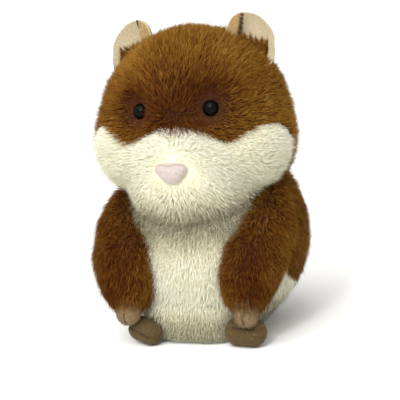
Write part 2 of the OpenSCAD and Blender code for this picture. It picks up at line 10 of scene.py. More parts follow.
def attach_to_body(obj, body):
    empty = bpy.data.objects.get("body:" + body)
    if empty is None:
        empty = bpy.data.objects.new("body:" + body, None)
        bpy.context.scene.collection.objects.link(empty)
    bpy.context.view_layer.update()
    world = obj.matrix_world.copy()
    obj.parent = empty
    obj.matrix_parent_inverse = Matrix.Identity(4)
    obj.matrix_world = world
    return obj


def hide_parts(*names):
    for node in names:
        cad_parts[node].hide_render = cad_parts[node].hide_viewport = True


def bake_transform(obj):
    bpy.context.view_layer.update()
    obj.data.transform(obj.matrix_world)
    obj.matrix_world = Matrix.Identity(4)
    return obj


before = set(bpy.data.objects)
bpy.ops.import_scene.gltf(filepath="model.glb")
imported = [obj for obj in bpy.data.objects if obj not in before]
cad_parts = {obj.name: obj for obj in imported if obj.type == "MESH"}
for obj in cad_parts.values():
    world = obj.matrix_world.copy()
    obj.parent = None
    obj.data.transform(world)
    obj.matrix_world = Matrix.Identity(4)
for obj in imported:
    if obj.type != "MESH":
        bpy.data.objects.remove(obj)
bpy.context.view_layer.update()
MM = 0.001
# Share of the full number of strands
DENSITY = 1.0
# Camera: azimuth, elevation and roll in degrees, distance in metres, lens in mm
VIEW = {"azimuth": 22, "elevation": 10, "roll": 5, "distance": 0.65, "lens": 114.7}
LOOK_AT = Vector((0, 0, 0.078))
# How far the frame's centre lies from that point, in metres to the right and up
FRAME_SHIFT = (-0.0046, -0.0119)
# Seeds of the random draws of each pile
SEEDS = {"crown": 13, "muzzle": 31, "belly": 56, "back": 55, "arm": 71, "hand": 91, "ear_fur": 101, "ear_pile": 111}


# ---------- camera, lights and floor ----------

def make_camera():
    az, el, roll = (math.radians(VIEW[k]) for k in ("azimuth", "elevation", "roll"))
    back = Vector((math.sin(az) * math.cos(el), -math.cos(az) * math.cos(el), math.sin(el)))
    right = Vector((math.cos(az), math.sin(az), 0))
    up = back.cross(right)
    data = bpy.data.cameras.new("camera")
    data.sensor_width, data.lens = 36, VIEW["lens"]
    data.clip_start, data.clip_end = 0.05, 20
    cam = bpy.data.objects.new("camera", data)
    bpy.context.scene.collection.objects.link(cam)
    target = LOOK_AT + right * FRAME_SHIFT[0] + up * FRAME_SHIFT[1]
    rolled_right = right * math.cos(roll) + up * -math.sin(roll)
    rolled_up = right * math.sin(roll) + up * math.cos(roll)
    m = Matrix((rolled_right, rolled_up, back)).transposed().to_4x4()
    m.translation = target + back * VIEW["distance"]
    cam.matrix_world = m
    bpy.context.scene.camera = cam


def area_light(name, place, aim, size, power):
    data = bpy.data.lights.new(name, "AREA")
    data.shape, data.size, data.energy = "DISK", size, power
    o = bpy.data.objects.new(name, data)
    bpy.context.scene.collection.objects.link(o)
    o.location = place
    o.rotation_euler = (Vector(place) - Vector(aim)).to_track_quat("Z", "Y").to_euler()


def make_stage():
    world = bpy.data.worlds.new("studio")
    bpy.context.scene.world = world
    world.use_nodes = True
    world.node_tree.nodes["Background"].inputs[0].default_value = (1.0, 1.0, 1.0, 1)
    world.node_tree.nodes["Background"].inputs[1].default_value = 0.50
    data = bpy.data.lights.new("soft_key", "SUN")
    data.energy, data.angle, data.color = 2.7, math.radians(55), (1.0, 0.985, 0.95)
    sun = bpy.data.objects.new("soft_key", data)
    bpy.context.scene.collection.objects.link(sun)
    sun.rotation_euler = Vector((-0.06, -0.70, 1.0)).to_track_quat("Z", "Y").to_euler()
    area_light("catch_light", (0.06, -0.75, 0.50), (0, 0, 0.10), 0.14, 3.0)
    m = bpy.data.materials.new("pale_floor")
    m.use_nodes = True
    b = m.node_tree.nodes["Principled BSDF"]
    b.inputs["Base Color"].default_value = (0.96, 0.96, 0.95, 1)
    b.inputs["Roughness"].default_value = 0.95
    b.inputs["Specular IOR Level"].default_value = 0.1
    # A round sheet that curves up far behind the toy on every side.
    flat, rise, turns = 2.2, 1.8, 72
    rings = [(flat * t, 0.0) for t in (0.15, 0.4, 0.7, 1.0)]
    rings += [(flat + rise * math.sin(t), rise * (1 - math.cos(t))) for t in np.linspace(0.1, 1.45, 12)]
    verts = [(0, 0, 0)]
    faces = []
    for k, (r, z) in enumerate(rings):
        verts += [(r * math.cos(q), r * math.sin(q), z)
                  for q in np.linspace(0, 2 * math.pi, turns, endpoint=False)]
        for i in range(turns):
            j = (i + 1) % turns
            if k == 0:
                faces.append((0, 1 + i, 1 + j))
            else:
                a, c = 1 + (k - 1) * turns, 1 + k * turns
                faces.append((a + i, c + i, c + j, a + j))
    mesh_object("floor", verts, faces, [m], scale=1)
    bpy.context.scene.view_settings.view_transform = "Standard"


# ---------- mesh helpers, in millimetres ----------

def mesh_object(name, verts, faces, mats, scale=MM, index=None):
    """Smooth-shaded object; index gives each face's place in mats."""
    me = bpy.data.meshes.new(name)
    me.from_pydata([tuple(float(c) * scale for c in v) for v in verts], [],
                   [tuple(int(i) for i in f) for f in faces])
    for m in mats:
        me.materials.append(m)
    if index is not None:
        me.polygons.foreach_set("material_index", np.asarray(index, np.int32))
    me.polygons.foreach_set("use_smooth", np.ones(len(me.polygons), bool))
    me.update()
    o = bpy.data.objects.new(name, me)
    bpy.context.scene.collection.objects.link(o)
    return o


def unit(v):
    return v / np.maximum(np.linalg.norm(v, axis=-1, keepdims=True), 1e-9)


# Odd numbers that scramble a lattice cell's three indices and the seed
HASH = (374761393, 668265263, 2147483647, 1274126177)


def noise3(p, scale, seed):
    """Smooth value noise, -1 to 1, at points p in mm."""
    q = p / scale + seed * 17.31
    i = np.floor(q).astype(np.int64)
    f = q - i
    f = f * f * (3 - 2 * f)
    total = np.zeros(len(p))
    for dx in (0, 1):
        for dy in (0, 1):
            for dz in (0, 1):
                corner = (dx, dy, dz)
                k = sum((i[:, a] + corner[a]) * HASH[a] for a in range(3)) + seed * HASH[3]
                k = (k ^ (k >> 13)) * HASH[3]
                k = (k ^ (k >> 16)) & 0xFFFFFF
                w = [f[:, a] if corner[a] else 1 - f[:, a] for a in range(3)]
                total += w[0] * w[1] * w[2] * (k / 0x7FFFFF - 1)
    return total


def ellipsoid(p, c, r):
    """Near distance from points to an ellipsoid of centre c and radii r, below zero inside."""
    q = (p - np.array(c, float)) / np.array(r, float)
    k0 = np.linalg.norm(q, axis=-1)
    k1 = np.linalg.norm(q / np.array(r, float), axis=-1) + 1e-9
    return k0 * (k0 - 1) / k1


def smooth_min(a, b, k):
    """Smaller of two distances, blended over a width k."""
    h = np.clip(0.5 + 0.5 * (b - a) / k, 0, 1)
    return b * (1 - h) + a * h - k * h * (1 - h)


def capsules(p, balls, k):
    """Smooth tube through spheres (x, y, z, radius)."""
    out = None
    for a, b in zip(balls, balls[1:]):
        a, b = np.array(a, float), np.array(b, float)
        d = b[:3] - a[:3]
        t = np.clip(((p - a[:3]) @ d) / (d @ d), 0, 1)
        s = np.linalg.norm(p - a[:3] - t[:, None] * d, axis=1) - (a[3] + (b[3] - a[3]) * t)
        out = s if out is None else smooth_min(out, s, k)
    return out


def ball(level):
    """Unit icosphere: directions and triangles."""
    bm = bmesh.new()
    bmesh.ops.create_icosphere(bm, subdivisions=level, radius=1)
    bm.verts.ensure_lookup_table()
    directions = np.array([v.co[:] for v in bm.verts])
    tris = np.array([[v.index for v in f.verts] for f in bm.faces])
    bm.free()
    return directions, tris


def edge_along(is_inside, near, far, rounds):
    """Bisection for where each ray leaves a shape; is_inside takes one distance a ray."""
    lo, hi = near, far
    for _ in range(rounds):
        mid = (lo + hi) / 2
        inside = is_inside(mid)
        lo, hi = np.where(inside, mid, lo), np.where(inside, hi, mid)
    return lo, hi


def star(fn, centre, level, far=95.0):
    """Closed surface of a shape that its centre sees all of."""
    d, tris = ball(level)
    c = np.array(centre, float)
    lo, hi = edge_along(lambda t: fn(c + d * t[:, None]) < 0, np.zeros(len(d)), np.full(len(d), far), 26)
    return c + d * ((lo + hi) / 2)[:, None], tris


def keep_faces(verts, tris, keep):
    """Part of a surface, without the points that it no longer uses."""
    tris = tris[keep]
    used, inverse = np.unique(tris, return_inverse=True)
    return verts[used], inverse.reshape(tris.shape)


# ---------- shapes, in millimetres ----------

EYES = np.array([[-18.0, -33.0, 116.0], [18.0, -33.0, 116.0]])
NOSE = np.array([0, -47.0, 88.0])
# The point between the eyes that the forehead's pile is brushed away from
CREST = np.array([0, -36.0, 114.0])
# The muzzle round the nose is wide, so distances from the nose count x by this much less
NOSE_SPREAD = np.array([1.5, 1, 1])
# Limbs as spheres (x, y, z, radius), by side: -1 is left and 1 is right, seen from the front
ARMS = {-1: ((37.0, -12, 66.0, 8.8), (37.0, -20, 55, 11.6), (33.3, -31.5, 42, 13.4),
             (31.3, -37.2, 31.5, 10.8), (31.0, -39.6, 28, 8.0)),
        1: ((37.0, -12, 65.0, 8.6), (36.6, -20, 54, 10.6), (33.2, -31, 42, 11.6),
            (31.0, -37.2, 31.5, 9.8), (30.8, -39.6, 28, 7.8))}
HAND = ((31.1, -41.2, 23.8, 7.7), (30.9, -43.0, 17.2, 6.1))
FEET = {-1: ((28.0, -37.0, 7.8, 6.2), (21.2, -39.8, 6.4, 6.0)), 1: ((23.8, -37.0, 7.2, 6.7), (32.0, -38.0, 7.3, 6.9))}


def head_fn(p):
    d = ellipsoid(p, (0, -7.0, 111), (45.2, 33, 41))
    for s in (-1, 1):
        d = smooth_min(d, ellipsoid(p, (s * 22.0, -13.5, 98.0), (26.8, 25.0, 24.0)), 9)
    d = smooth_min(d, ellipsoid(p, (0, -19, 85), (27, 25.5, 22.5)), 7)
    d = smooth_min(d, ellipsoid(p, (0, -16.5, 73.0), (30, 25, 16)), 8)
    d = smooth_min(d, ellipsoid(p, (0, 3, 92), (39, 33, 25)), 8)
    # Sockets pulled in by the eye shanks, and a dip where the nose is stitched down.
    for e in EYES:
        d = d + 3.9 * np.exp(-np.sum((p - e) ** 2, 1) / 48.0)
    return d + 1.0 * np.exp(-np.sum(((p - NOSE) / NOSE_SPREAD) ** 2, 1) / 30.0)


def plate_distance(p):
    """Distance out from the core of the oblong base; its rim lies at 12.6."""
    past_side = np.maximum(np.abs(p[:, 0]) - 8, 0)
    past_end = np.maximum(np.maximum(-23 - p[:, 1], p[:, 1] - 21), 0)
    return np.hypot(past_side, past_end)


def body_fn(p):
    d = ellipsoid(p, (0, 1.5, 49), (47.5, 38.5, 47))
    d = smooth_min(d, ellipsoid(p, (0, -9, 34), (34, 32.5, 30)), 9)
    d = smooth_min(d, ellipsoid(p, (-3.5, -13.5, 17), (30.5, 24, 15.5)), 5)
    d = smooth_min(d, np.maximum(plate_distance(p) - 13.2, np.abs(p[:, 2] - 8) - 7.4), 7)
    return np.maximum(d, 1.2 + 1.6 * np.clip(-p[:, 1] / 30, 0, 1) - p[:, 2])


def mirrored(balls, side):
    return [(b[0] * side, *b[1:]) for b in balls]


def border_z(phi):
    """Height where brown meets cream on the face, by angle round the head from the nose, in degrees."""
    angles = [0, 12, 19, 25, 31, 35.5, 43, 52, 62, 68, 73, 77]
    heights = [107.6, 107.2, 105.6, 103.2, 100.8, 100.6, 103.6, 107.2, 107.2, 105.2, 100, 80]
    return 1.8 * np.clip(-phi / 45, 0, 1) + np.interp(np.abs(phi - 2.5), angles, heights)


def face_angle(p):
    return np.degrees(np.arctan2(p[:, 0], -(p[:, 1] + 2)))


def cream_on_head(p):
    phi = face_angle(p)
    return (p[:, 2] < border_z(phi)) & (np.abs(phi) < 78)


def cream_on_body(p):
    """In front of the side seam, which swings back round the foot of the body."""
    side = np.interp(p[:, 2], [0, 19, 22, 26, 30, 36, 50, 75], [60, 40, 10, 0, -8, -16, -20, -24])
    return p[:, 1] < side


# ---------- materials ----------

def material(name, colour, roughness=0.8, sheen=0.0, sheen_tint=None, metallic=0.0, specular=0.5):
    m = bpy.data.materials.new(name)
    m.use_nodes = True
    b = m.node_tree.nodes["Principled BSDF"]
    b.inputs["Base Color"].default_value = (*colour, 1)
    b.inputs["Roughness"].default_value = roughness
    b.inputs["Metallic"].default_value = metallic
    b.inputs["Specular IOR Level"].default_value = specular
    b.inputs["Sheen Weight"].default_value = sheen
    b.inputs["Sheen Roughness"].default_value = 0.45
    if sheen_tint:
        b.inputs["Sheen Tint"].default_value = (*sheen_tint, 1)
    return m


def textured(name, dark, light, scale, detail=6, roughness=0.85, bump=0.0, bump_scale=None, sheen=0.0,
             sheen_tint=None, second=None, bump_distance=0.0002, metallic=0.0, rough_span=0.0, specular=0.3,
             stretch=(1, 1, 1)):
    """Noise-mottled material. Scale is in cycles a metre, and stretch draws it out along an axis."""
    m = material(name, light, roughness, sheen, sheen_tint, metallic=metallic, specular=specular)
    nodes, links = m.node_tree.nodes, m.node_tree.links
    b = nodes["Principled BSDF"]
    at = nodes.new("ShaderNodeTexCoord")
    place = nodes.new("ShaderNodeMapping")
    place.inputs["Scale"].default_value = stretch
    links.new(at.outputs["Object"], place.inputs["Vector"])
    n = nodes.new("ShaderNodeTexNoise")
    n.inputs["Scale"].default_value = scale
    n.inputs["Detail"].default_value = detail
    links.new(place.outputs["Vector"], n.inputs["Vector"])
    ramp = nodes.new("ShaderNodeValToRGB")
    ends = ramp.color_ramp.elements
    ends[0].position, ends[1].position = 0.3, 0.7
    ends[0].color, ends[1].color = (*dark, 1), (*light, 1)
    if second:
        ends.new(0.5).color = (*second, 1)
    links.new(n.outputs["Fac"], ramp.inputs["Fac"])
    links.new(ramp.outputs["Color"], b.inputs["Base Color"])
    if rough_span:
        r = nodes.new("ShaderNodeMapRange")
        r.inputs["To Min"].default_value = roughness - rough_span
        r.inputs["To Max"].default_value = roughness + rough_span
        links.new(n.outputs["Fac"], r.inputs["Value"])
        links.new(r.outputs["Result"], b.inputs["Roughness"])
    if bump:
        k = nodes.new("ShaderNodeTexNoise")
        k.inputs["Scale"].default_value = bump_scale or scale * 4
        k.inputs["Detail"].default_value = 4
        links.new(place.outputs["Vector"], k.inputs["Vector"])
        raised = nodes.new("ShaderNodeBump")
        raised.inputs["Strength"].default_value = bump
        raised.inputs["Distance"].default_value = bump_distance
        links.new(k.outputs["Fac"], raised.inputs["Height"])
        links.new(raised.outputs["Normal"], b.inputs["Normal"])
    return m


def shades(name, tones, count, roughness=0.7):
    """Run of plain tones from dark to light, one material a tone, for strands of fibre; some piles use the darker and
    lighter tones for painted light and shade as well as for the fibre's own colour.
    """
    out = []
    for i in range(count):
        t = i / (count - 1) * (len(tones) - 1)
        k = min(int(t), len(tones) - 2)
        c = [d + (l - d) * (t - k) for d, l in zip(tones[k], tones[k + 1])]
        out.append(material(f"{name}_{i}", c, roughness, 0.04, c, specular=0.06))
    return out


# ---------- fur ----------

# Pile: size of a tuft in mm, how far its tips gather, share of longer guard hairs, waviness of a strand
CLUMP, PULL, GUARD, WAVE = 2.6, 0.30, 0.08, 0.12
# Shade steps: between tufts, from strand to strand, at the root and at the tip
TUFT_STEP, STRAND_STEP, ROOT_STEP, TIP_STEP = 0.10, 0.09, -0.14, 0.06
# Straight lengths in a strand, points in it, and the height under which no point goes
STEPS, STRAND_POINTS, LOWEST = 2, 7, 0.35


def surface_roots(verts, tris, density, rng):
    """Random points and normals on a surface, density of them to the square mm."""
    a, b, c = verts[tris[:, 0]], verts[tris[:, 1]], verts[tris[:, 2]]
    cross = np.cross(b - a, c - a)
    area = np.linalg.norm(cross, axis=1) / 2
    count = np.floor(area * density * DENSITY + rng.random(len(tris))).astype(int)
    t = np.repeat(np.arange(len(tris)), count)
    u, v = rng.random(len(t)), rng.random(len(t))
    flip = u + v > 1
    u, v = np.where(flip, 1 - u, u), np.where(flip, 1 - v, v)
    root = a[t] + (b - a)[t] * u[:, None] + (c - a)[t] * v[:, None]
    vn = np.zeros_like(verts)
    for i in range(3):
        np.add.at(vn, tris[:, i], cross)
    vn = unit(vn)
    shares = ((1 - u - v)[:, None], u[:, None], v[:, None])
    return root, unit(sum(vn[tris[t, i]] * w for i, w in enumerate(shares)))


def strand_mesh(name, xyz, faces, index, mats):
    """Mesh object straight from arrays, since from_pydata is slow for so many faces."""
    me = bpy.data.meshes.new(name)
    me.vertices.add(len(xyz))
    me.vertices.foreach_set("co", xyz.ravel())
    me.loops.add(len(faces) * 3)
    me.loops.foreach_set("vertex_index", faces.ravel())
    me.polygons.add(len(faces))
    me.polygons.foreach_set("loop_start", (np.arange(len(faces)) * 3).astype(np.int32))
    me.polygons.foreach_set("loop_total", np.full(len(faces), 3, np.int32))
    for m in mats:
        me.materials.append(m)
    me.polygons.foreach_set("material_index", index)
    me.polygons.foreach_set("use_smooth", np.ones(len(faces), bool))
    me.update(calc_edges=True)
    o = bpy.data.objects.new(name, me)
    bpy.context.scene.collection.objects.link(o)
    return o


def grow(name, verts, tris, comb, density, length, width, tone, mats, seed, lean=0.9, trim=None, keep=None,
         parts=1):
    """Closed three-sided tapered strands over a surface, shared out round the toy into a few meshes.
    comb gives the way the pile is brushed, tone (0 to 1) its shade; both take root points and normals."""
    rng = np.random.default_rng(seed)
    root, normal = surface_roots(verts, tris, density, rng)
    if keep is not None:
        ok = keep(root)
        root, normal = root[ok], normal[ok]
    n = len(root)
    way = comb(root, normal)
    way = way + 0.30 * np.stack([noise3(root, 8.0, seed + k) for k in (1, 2, 3)], 1)
    way = way + 0.20 * rng.normal(size=(n, 3))
    way = unit(way - normal * np.sum(way * normal, 1, keepdims=True))
    long = length * (1 + 0.20 * noise3(root, 7.0, seed + 5)) * rng.uniform(0.68, 1.12, n)
    stray = rng.random(n) < GUARD
    long = np.where(stray, long * 1.25, long)
    if trim is not None:
        long = long * trim(root)
    tilt = lean * (1 + 0.24 * rng.normal(size=n))
    here = root - normal * 0.5
    pts = [here]
    for i in range(STEPS):
        angle = np.clip(tilt * (0.62 + 0.72 * i), 0.0, 1.45)
        d = normal * np.cos(angle)[:, None] + way * np.sin(angle)[:, None] + WAVE * rng.normal(size=(n, 3))
        here = here + unit(d) * (long / STEPS)[:, None]
        pts.append(here)
    # Tips gather towards the middle of small tufts.
    shake = 0.35 * np.stack([noise3(root, 3.1, seed + k) for k in (7, 8, 9)], 1)
    cell = np.floor(root / CLUMP + shake).astype(np.int64)
    key = cell[:, 0] * 73856093 ^ cell[:, 1] * 19349663 ^ cell[:, 2] * 83492791
    _, tuft = np.unique(key, return_inverse=True)
    size = np.bincount(tuft).astype(float)
    for i in range(1, STEPS + 1):
        mid = np.stack([np.bincount(tuft, weights=pts[i][:, k]) / size for k in range(3)], 1)[tuft]
        w = (np.where(stray, 0.1, PULL) * rng.uniform(0.4, 1.2, n) * (i / STEPS) ** 1.5)[:, None]
        pts[i] = pts[i] * (1 - w) + mid * w
    tuft_tone = np.random.default_rng(seed + 99).random(len(size))[tuft]
    for i in range(STEPS + 1):
        pts[i][:, 2] = np.maximum(pts[i][:, 2], LOWEST)
    radius = width / 2 * rng.uniform(0.8, 1.15, n) * np.where(stray, 0.8, 1)
    side = unit(np.cross(normal, way + 1e-4))
    rings = []
    for i, thin in enumerate((1.0, 0.85)):
        d = unit(pts[i + 1] - pts[max(i - 1, 0)])
        s = unit(side - d * np.sum(side * d, 1, keepdims=True))
        o = np.cross(d, s)
        r = (radius * thin)[:, None]
        rings.append(np.stack([pts[i] + r * (math.cos(q) * s + math.sin(q) * o) for q in (0.5, 2.6, 4.7)], 1))
    co = np.concatenate([*rings, pts[STEPS][:, None, :]], 1)
    # One strand's triangles: its closed root, then three sides up to the tip. band marks the tip's.
    local = [(0, 2, 1)]
    for k in range(3):
        j = (k + 1) % 3
        local += [(k, j, j + 3), (k, j + 3, k + 3), (k + 3, j + 3, 6)]
    local = np.array(local)
    band = np.array([0] + [0, 0, 1] * 3)
    shade = tone(root, normal) + TUFT_STEP * (tuft_tone - 0.5) + STRAND_STEP * rng.normal(size=n)
    level = shade[:, None] + np.array([ROOT_STEP, TIP_STEP])[band][None]
    index = np.clip((level * len(mats)).astype(int), 0, len(mats) - 1)
    turn = np.argsort(np.arctan2(root[:, 0], -root[:, 1]), kind="stable")
    out = []
    for k, ids in enumerate(np.array_split(turn, parts)):
        faces = np.arange(len(ids))[:, None, None] * STRAND_POINTS + local[None]
        out.append(strand_mesh(f"{name}_{k + 1}" if parts > 1 else name,
                               (co[ids].reshape(-1, 3) * MM).astype(np.float32),
                               faces.reshape(-1, 3).astype(np.int32),
                               index[ids].reshape(-1).astype(np.int32), mats))
    return out


make_camera()
make_stage()

# ---------- pile of the two colours: clipping, tone with painted light and shade, and comb ---

BROWN = shades("brown_fibre", ((0.038, 0.007, 0.001), (0.125, 0.035, 0.004), (0.30, 0.140, 0.018),
                               (0.54, 0.33, 0.075)), 10)
# The cream run reaches down to dark tones that serve as painted shade on the muzzle and belly.
CREAM = shades("cream_fibre", ((0.34, 0.31, 0.20), (0.64, 0.61, 0.43), (0.92, 0.90, 0.69),
                               (0.99, 0.985, 0.86)), 9)
BROWN_SKIN = textured("brown_backing", (0.025, 0.006, 0.001), (0.075, 0.022, 0.004), 900, 6, 0.95, 0.5, 3000)
CREAM_SKIN = textured("cream_backing", (0.78, 0.73, 0.54), (0.90, 0.87, 0.68), 900, 6, 0.95, 0.5, 3000)


def near_features(p):
    """Pile is clipped round the eyes and the nose."""
    out = np.ones(len(p))
    for e in EYES:
        out = np.minimum(out, np.clip((np.linalg.norm(p - e, axis=1) - 4.4) / 7, 0.26, 1))
    from_nose = np.linalg.norm((p - NOSE) / NOSE_SPREAD, axis=1)
    return np.minimum(out, np.clip((from_nose - 3.6) / 8, 0.34, 1))


def muzzle_trim(p):
    """Cream pile is shorter along the brow seam."""
    return near_features(p) * np.clip(0.45 + (border_z(face_angle(p)) - p[:, 2]) / 9, 0.45, 1)


def brown_head_tone_and_painted_light(p, n):
    """Darker over the brow and round the eyes, with painted light: lighter where the pile faces up."""
    dark = np.exp(-((np.abs(p[:, 0]) / 27) ** 2 + ((p[:, 2] - 120) / 17) ** 2 + ((p[:, 1] + 32) / 26) ** 2))
    near = sum(np.exp(-np.sum((p - e) ** 2, 1) / 60.0) for e in EYES)
    return 0.52 - 0.27 * dark - 0.30 * near + 0.08 * noise3(p, 15.0, 5) + 0.06 * n[:, 2]


def brown_body_tone_and_painted_light(p, n):
    # Painted light: the pile is lighter where it faces up; the noise is its own tone.
    return 0.46 + 0.09 * noise3(p, 15.0, 6) + 0.05 * n[:, 2]


def arm_tone_and_painted_sheen(p, n):
    # Painted sheen: the pile is lighter where it faces sideways.
    streak = np.exp(-((np.abs(p[:, 0]) - 36) / 6) ** 2 - ((p[:, 2] - 40) / 22) ** 2)
    return 0.39 - 0.15 * streak + 0.09 * noise3(p, 11.0, 8) + 0.10 * np.abs(n[:, 0]) ** 3


# Painted light and shade on the muzzle's pile: darker low on the muzzle and chin, where it faces down and where it
# turns to the sides, and lighter where it faces up; the noise is the pile's own tone.
def cream_tone_and_painted_shade(p, n):
    low = np.clip((82 - p[:, 2]) / 16, 0, 1)
    return (0.87 + 0.05 * noise3(p, 12.0, 7) + 0.06 * n[:, 2] - 0.55 * low - 0.20 * np.clip(-n[:, 2], 0, 1)
            - 0.18 * np.abs(n[:, 0]))


def belly_tone_and_painted_shade(p, n):
    """Painted shade: darker round the base, under the chin and where the belly turns to the sides."""
    base = np.clip((24 - p[:, 2]) / 16, 0, 1)
    chin = np.clip((p[:, 2] - 44) / 14, 0, 1)
    return 0.78 + 0.06 * noise3(p, 14.0, 9) - 0.66 * base - 0.68 * chin - 0.10 * np.abs(n[:, 0])


def head_comb(p, n):
    """Up and out over the forehead and away from the eyes, then down the back of the head."""
    front = unit(p - CREST) + np.array([0, 0, 0.10])
    for e in EYES:
        front = front + 2.2 * unit(p - e) * np.exp(-np.sum((p - e) ** 2, 1) / 70.0)[:, None]
    back = np.array([0, 0.35, -1.0]) + 0.3 * unit(p * np.array([1, 0, 0]))
    w = np.clip(p[:, 1] / 26, 0, 1)[:, None]
    return front * (1 - w) + back * w


def cheek_comb(p, n):
    """Out from behind the nose."""
    out = unit(p - (NOSE + np.array([0, 8, 1])))
    return out + np.array([0, 0, -0.25]) + np.where(p[:, :1] > 0, 1, -1) * np.array([0.25, 0, 0])


def down_comb(p, n):
    return np.array([0, 0, -1.0]) + 0.25 * unit(p * np.array([1, 1, 0]))


# ---------- ways to attach a piece ----------

def soft_piece(name, verts, tris, mats, attach, replaced, index=None):
    """Padded skin that stands for the named CAD solids. attach makes it ride or blend."""
    o = mesh_object(name, verts, tris, mats, index=index)
    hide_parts(*replaced)
    attach(o)


def pile(attach, slot, *grown, **more):
    """Fur of one finish, attached as its skin is."""
    for o in grow(*grown, **more):
        attach(o)


def riding(body):
    return lambda o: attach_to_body(o, body)


def blending():
    return lambda o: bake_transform(o)


# ---------- head ----------


def above_neck(p):
    return (body_fn(p) > -1.5) & ((p[:, 2] > 70) | (np.hypot(p[:, 0], p[:, 1] - 2) > 26))


head_v, head_t = star(head_fn, (0, -4, 100), 6)
middle = head_v[head_t].mean(1)
cream = cream_on_head(middle)
# The skin stops a little way down inside the body, so that the mechanism has room to nod.
shown = (body_fn(middle) > -6) | (middle[:, 2] > 84)
for label, mats, slot, wanted, replaced, comb, tone, shade_set, length, lean, trim, parts in (
        ("crown", [BROWN_SKIN], "brown_plush", ~cream & shown, ["crown_panel", "head_stuffing"], head_comb,
         brown_head_tone_and_painted_light, BROWN, 6.9, 0.78, near_features, 4),
        ("muzzle", [CREAM_SKIN], "cream_plush", cream & shown, ["muzzle_panel", "cheek_left", "cheek_right"],
         cheek_comb, cream_tone_and_painted_shade, CREAM, 6.6, 0.88, muzzle_trim, 3)):
    verts, tris = keep_faces(head_v, head_t, wanted)
    soft_piece(f"{label}_backing", verts, tris, mats, riding("head"), replaced)
    pile(riding("head"), slot, f"{label}_fur", verts, tris, comb, 3.1, length, 0.235, tone, shade_set,
         SEEDS[label], lean=lean, keep=above_neck, trim=trim, parts=parts)

# ---------- body ----------

# The cover bends where it meets the head, at the neck pin.
on_neck = blending()


def clear_of_head(p):
    over_base = (p[:, 2] < 1.6) & (plate_distance(p) < 12.8)
    return (head_fn(p) > -2.0) & (p[:, 2] < 84) & ~over_base


def short_at_hem(p):
    return np.clip(0.5 + (p[:, 2] - 1) / 14, 0.5, 1)


body_v, body_t = star(body_fn, (0, 0, 40), 6)
middle = body_v[body_t].mean(1)
cream = cream_on_body(middle)
# Left open over the base plate, and where the head covers it.
shown = ~(((middle[:, 2] < 5) & (plate_distance(middle) < 11.6)) | (head_fn(middle) < -7))
for label, mats, slot, wanted, replaced, tone, shade_set, parts in (
        ("belly", [CREAM_SKIN], "cream_plush", cream & shown, ["belly_panel", "body_padding", "base_hem"],
         belly_tone_and_painted_shade, CREAM, 2),
        ("back", [BROWN_SKIN], "brown_plush", ~cream & shown, ["back_panel", "neck_gusset"],
         brown_body_tone_and_painted_light, BROWN, 3)):
    verts, tris = keep_faces(body_v, body_t, wanted)
    soft_piece(f"{label}_backing", verts, tris, mats, on_neck, replaced)
    pile(on_neck, slot, f"{label}_fur", verts, tris, down_comb, 2.8, 6.4, 0.24, tone, shade_set,
         SEEDS[label], lean=0.85, keep=clear_of_head, trim=short_at_hem, parts=parts)

# ---------- arms, hands and feet ----------

VELOUR = textured("tan_velour", (0.055, 0.034, 0.012), (0.115, 0.076, 0.032), 1300, 5, 0.9, 0.6, 2600, 0.12,
                  (0.8, 0.7, 0.5), (0.08, 0.052, 0.020), 0.00025, specular=0.15)
PAW = textured("paw_velour", (0.13, 0.085, 0.036), (0.22, 0.15, 0.075), 1300, 5, 0.85, 0.6, 2600, 0.35,
               (0.8, 0.7, 0.5), (0.22, 0.15, 0.075), 0.00025)
# Dark thread colour: the sewn lines, and painted shadow in the ears' fold.
STITCH_AND_CREASE_SHADOW = textured("seam_thread_and_crease_shadow", (0.030, 0.016, 0.008), (0.075, 0.042, 0.022), 3000, 3, 0.8, 0.4, 6000)
PAW_PILE = shades("paw_fibre", ((0.11, 0.068, 0.028), (0.20, 0.135, 0.065), (0.32, 0.225, 0.12)), 4, 0.8)


def thread(name, path, width, mats, body):
    """Round sewing thread along a path."""
    turns = 7
    verts, faces = [], []
    for i, q in enumerate(path):
        d = unit(path[min(i + 1, len(path) - 1)] - path[max(i - 1, 0)])
        # The last vector is one that no thread here runs along.
        s = unit(np.cross(d, np.array([0.3, 0.2, 1.0])))
        o = np.cross(d, s)
        for k in range(turns):
            w = 2 * math.pi * k / turns
            verts.append(q + width / 2 * (math.cos(w) * s + math.sin(w) * o))
    for i in range(len(path) - 1):
        for k in range(turns):
            j = (k + 1) % turns
            faces.append((i * turns + k, i * turns + j, (i + 1) * turns + j, (i + 1) * turns + k))
    faces.append(tuple(range(turns))[::-1])
    faces.append(tuple(range(len(verts) - turns, len(verts))))
    o = mesh_object(name, verts, faces, mats)
    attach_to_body(o, body)


def laid_on(fn, path, lift):
    """Path inside a shape, moved forward to lie lift above its front."""
    q = np.array(path, float)
    d = np.array([0, -1.0, 0])
    lo, _ = edge_along(lambda t: fn(q + d * t[:, None]) < 0, np.full(len(q), -2.0), np.full(len(q), 16.0), 30)
    return q + d * (lo + lift)[:, None]


def ridge(p, centre, across, width, depth):
    """Groove round a line through a centre, across the given direction."""
    return depth * np.exp(-(((p - np.array(centre, float)) @ unit(np.array(across, float))) / width) ** 2)


def arm_fn(p, side):
    return capsules(p, mirrored(ARMS[side], side), 7.0)


def arm_comb(p, n, side):
    return np.array([0.10 * side, -0.30, -1.0]) + 0.35 * unit(n * np.array([1, 1, 0]))


def arm_shown(p):
    return (body_fn(p) > -1.5) & (head_fn(p) > -2)


def hand_fn(p, side):
    """Mitten with a crease down its front."""
    crease = ridge(p, (side * 31.0, 0, 0), (1, 0, 0), 0.8, 0.6) * np.clip((-p[:, 1] - 42) / 4, 0, 1)
    return capsules(p, mirrored(HAND, side), 2.0) + crease * np.clip((26 - p[:, 2]) / 6, 0, 1)


